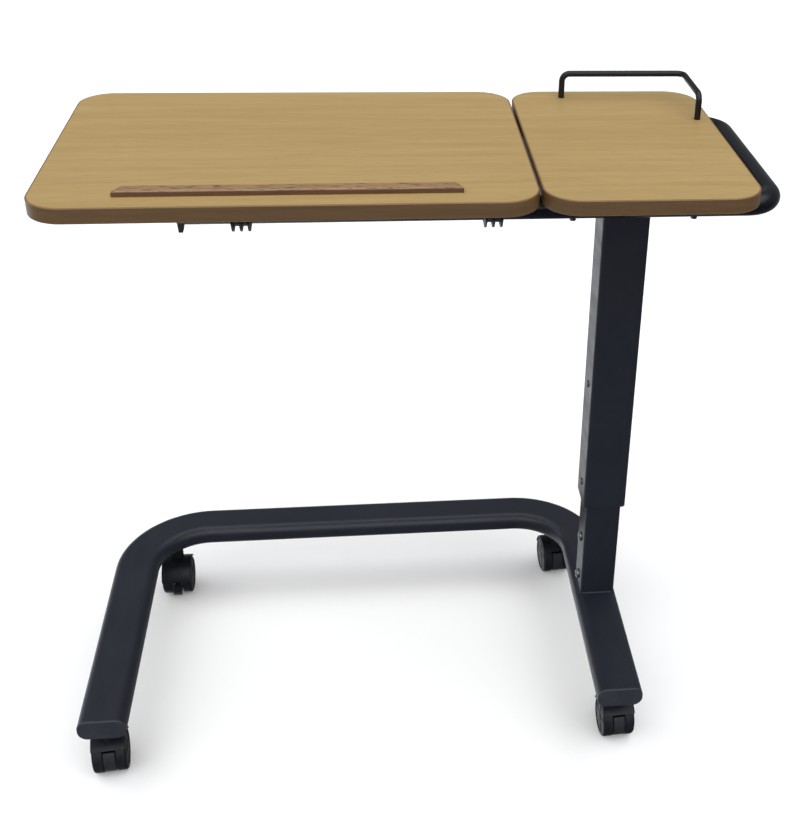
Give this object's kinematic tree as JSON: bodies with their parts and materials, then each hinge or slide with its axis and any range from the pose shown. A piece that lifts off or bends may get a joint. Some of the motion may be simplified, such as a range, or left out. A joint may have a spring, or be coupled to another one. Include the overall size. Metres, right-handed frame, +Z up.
{
  "type": "overbed table",
  "caption": "Height-adjustable overbed table with a tilting main board, a fixed side board, a side column and a U-shaped base on casters.",
  "frame": {"origin": "on the floor, at the centre of the outline seen from above", "axes": "+X towards the end with the handle, +Y to the back, +Z up"},
  "size_m": [0.879, 0.462, 0.8475],
  "materials": {
    "black_powder_coat": "semi-gloss black powder coat",
    "black_wire": "semi-gloss black powder-coated wire",
    "black_plastic": "moulded black plastic with a fine grain",
    "zinc_fasteners": "zinc-plated steel",
    "bright_rod": "bright drawn steel",
    "gas_spring_paint": "black enamel",
    "beech_laminate": "satin light beech laminate on chipboard",
    "brown_edge_band": "wood-look edge band",
    "brown_wood_strip": "brown stained wood, satin",
    "caster_plastic": "moulded black nylon",
    "caster_tread": "dark grey nylon wheel",
    "caster_axle_steel": "plain steel",
    "brake_plastic": "dark grey plastic"
  },
  "bodies": {
    "base": {"base_tube": "black_powder_coat", "base_end_caps": "black_plastic", "column_spigot": "black_powder_coat", "lower_column_tube": "black_powder_coat", "column_bolts": "zinc_fasteners", "caster_stems": "bright_rod", "caster_weld_nuts": "zinc_fasteners", "gas_spring_cylinder": "gas_spring_paint", "gas_spring_spacers": "black_plastic"},
    "top_carriage": {"upper_column_tube": "black_powder_coat", "lower_glide_sleeve": "black_plastic", "upper_glide_sleeve": "black_plastic", "glide_screws": "zinc_fasteners", "gas_spring_rod": "bright_rod", "release_head": "black_plastic", "lever_pivot_pin": "zinc_fasteners", "column_head_plate": "black_powder_coat", "head_plate_bolts": "zinc_fasteners", "frame_cross_bars": "black_powder_coat", "top_frame_rails": "black_powder_coat", "handle_tube": "black_powder_coat", "release_head_screws": "zinc_fasteners", "rail_end_plugs": "black_plastic", "side_board": "beech_laminate", "side_board_edge_band": "brown_edge_band", "side_board_screws": "zinc_fasteners", "side_board_spacers": "black_plastic", "wire_rail": "black_wire", "wire_rail_screws": "zinc_fasteners"},
    "release_lever": {"release_lever": "black_powder_coat", "lever_grip": "black_plastic"},
    "valve_pin": {"gas_valve_pin": "zinc_fasteners"},
    "tilting_board": {"main_board": "beech_laminate", "main_board_edge_band": "brown_edge_band", "ledge_strip": "brown_wood_strip", "ledge_screws": "zinc_fasteners", "hinge_clips": "black_plastic", "board_screws": "zinc_fasteners", "ratchet_racks": "black_plastic"},
    "prop_stay": {"prop_stay": "black_wire"},
    "front_left_caster": {"front_left_caster_housing": "caster_plastic", "front_left_caster_axle": "caster_axle_steel"},
    "front_left_wheel_left": {"front_left_wheel_left": "caster_tread"},
    "front_left_wheel_right": {"front_left_wheel_right": "caster_tread"},
    "front_left_brake_pedal": {"front_left_brake_pedal": "brake_plastic"},
    "front_right_caster": {"front_right_caster_housing": "caster_plastic", "front_right_caster_axle": "caster_axle_steel"},
    "front_right_wheel_left": {"front_right_wheel_left": "caster_tread"},
    "front_right_wheel_right": {"front_right_wheel_right": "caster_tread"},
    "front_right_brake_pedal": {"front_right_brake_pedal": "brake_plastic"},
    "rear_left_caster": {"rear_left_caster_housing": "caster_plastic", "rear_left_caster_axle": "caster_axle_steel"},
    "rear_left_wheel_left": {"rear_left_wheel_left": "caster_tread"},
    "rear_left_wheel_right": {"rear_left_wheel_right": "caster_tread"},
    "rear_left_brake_pedal": {"rear_left_brake_pedal": "brake_plastic"},
    "rear_right_caster": {"rear_right_caster_housing": "caster_plastic", "rear_right_caster_axle": "caster_axle_steel"},
    "rear_right_wheel_left": {"rear_right_wheel_left": "caster_tread"},
    "rear_right_wheel_right": {"rear_right_wheel_right": "caster_tread"},
    "rear_right_brake_pedal": {"rear_right_brake_pedal": "brake_plastic"}
  },
  "joints": [
    {"name": "column_lift", "type": "slide", "parent": "base", "child": "top_carriage", "axis": [0, 0, 1], "range_m": [-0.06, 0.19]},
    {"name": "board_tilt", "type": "hinge", "parent": "top_carriage", "child": "tilting_board", "pos_m": [-0.131, -0.1335, 0.779], "axis": [1, 0, 0], "range_deg": [0, 40]},
    {"name": "prop_stay_swing", "type": "hinge", "parent": "top_carriage", "child": "prop_stay", "pos_m": [-0.057, -0.0135, 0.779], "axis": [1, 0, 0], "range_deg": [0, 77]},
    {"name": "lever_press", "type": "hinge", "parent": "top_carriage", "child": "release_lever", "pos_m": [0.292, -0.003, 0.748], "axis": [0, -1, 0], "range_deg": [0, 8], "stiffness_Nm_per_rad": 2, "springref_deg": -5.73},
    {"name": "valve_press", "type": "slide", "parent": "top_carriage", "child": "valve_pin", "axis": [0, 0, -1], "range_m": [0, 0.003]},
    {"name": "front_left_swivel", "type": "hinge", "parent": "base", "child": "front_left_caster", "pos_m": [-0.4118, -0.1973, 0.07], "axis": [0, 0, 1], "continuous": true},
    {"name": "front_left_roll_left", "type": "hinge", "parent": "front_left_caster", "child": "front_left_wheel_left", "pos_m": [-0.41247, -0.19033, 0.0285], "axis": [0.9954, 0.0958, 0], "continuous": true},
    {"name": "front_left_roll_right", "type": "hinge", "parent": "front_left_caster", "child": "front_left_wheel_right", "pos_m": [-0.41247, -0.19033, 0.0285], "axis": [0.9954, 0.0958, 0], "continuous": true},
    {"name": "front_left_brake", "type": "hinge", "parent": "front_left_caster", "child": "front_left_brake_pedal", "pos_m": [-0.41247, -0.19033, 0.0285], "axis": [0.9954, 0.0958, 0], "range_deg": [0, 12]},
    {"name": "front_right_swivel", "type": "hinge", "parent": "base", "child": "front_right_caster", "pos_m": [0.2787, -0.192, 0.07], "axis": [0, 0, 1], "continuous": true},
    {"name": "front_right_roll_left", "type": "hinge", "parent": "front_right_caster", "child": "front_right_wheel_left", "pos_m": [0.27833, -0.18501, 0.0285], "axis": [0.9986, 0.0523, 0], "continuous": true},
    {"name": "front_right_roll_right", "type": "hinge", "parent": "front_right_caster", "child": "front_right_wheel_right", "pos_m": [0.27833, -0.18501, 0.0285], "axis": [0.9986, 0.0523, 0], "continuous": true},
    {"name": "front_right_brake", "type": "hinge", "parent": "front_right_caster", "child": "front_right_brake_pedal", "pos_m": [0.27833, -0.18501, 0.0285], "axis": [0.9986, 0.0523, 0], "range_deg": [0, 12]},
    {"name": "rear_left_swivel", "type": "hinge", "parent": "base", "child": "rear_left_caster", "pos_m": [-0.3642, 0.1858, 0.07], "axis": [0, 0, 1], "continuous": true},
    {"name": "rear_left_roll_left", "type": "hinge", "parent": "rear_left_caster", "child": "rear_left_wheel_left", "pos_m": [-0.3642, 0.1788, 0.0285], "axis": [-1, 0, 0], "continuous": true},
    {"name": "rear_left_roll_right", "type": "hinge", "parent": "rear_left_caster", "child": "rear_left_wheel_right", "pos_m": [-0.3642, 0.1788, 0.0285], "axis": [-1, 0, 0], "continuous": true},
    {"name": "rear_left_brake", "type": "hinge", "parent": "rear_left_caster", "child": "rear_left_brake_pedal", "pos_m": [-0.3642, 0.1788, 0.0285], "axis": [-1, 0, 0], "range_deg": [0, 12]},
    {"name": "rear_right_swivel", "type": "hinge", "parent": "base", "child": "rear_right_caster", "pos_m": [0.2435, 0.18, 0.07], "axis": [0, 0, 1], "continuous": true},
    {"name": "rear_right_roll_left", "type": "hinge", "parent": "rear_right_caster", "child": "rear_right_wheel_left", "pos_m": [0.24277, 0.18696, 0.0285], "axis": [0.9945, 0.1045, 0], "continuous": true},
    {"name": "rear_right_roll_right", "type": "hinge", "parent": "rear_right_caster", "child": "rear_right_wheel_right", "pos_m": [0.24277, 0.18696, 0.0285], "axis": [0.9945, 0.1045, 0], "continuous": true},
    {"name": "rear_right_brake", "type": "hinge", "parent": "rear_right_caster", "child": "rear_right_brake_pedal", "pos_m": [0.24277, 0.18696, 0.0285], "axis": [0.9945, 0.1045, 0], "range_deg": [0, 12]}
  ],
  "couplings": [
    {"joint": "prop_stay_swing", "follows": "board_tilt", "ratio": 1.91},
    {"joint": "valve_press", "follows": "lever_press", "m_per_rad": 0.0185}
  ]
}
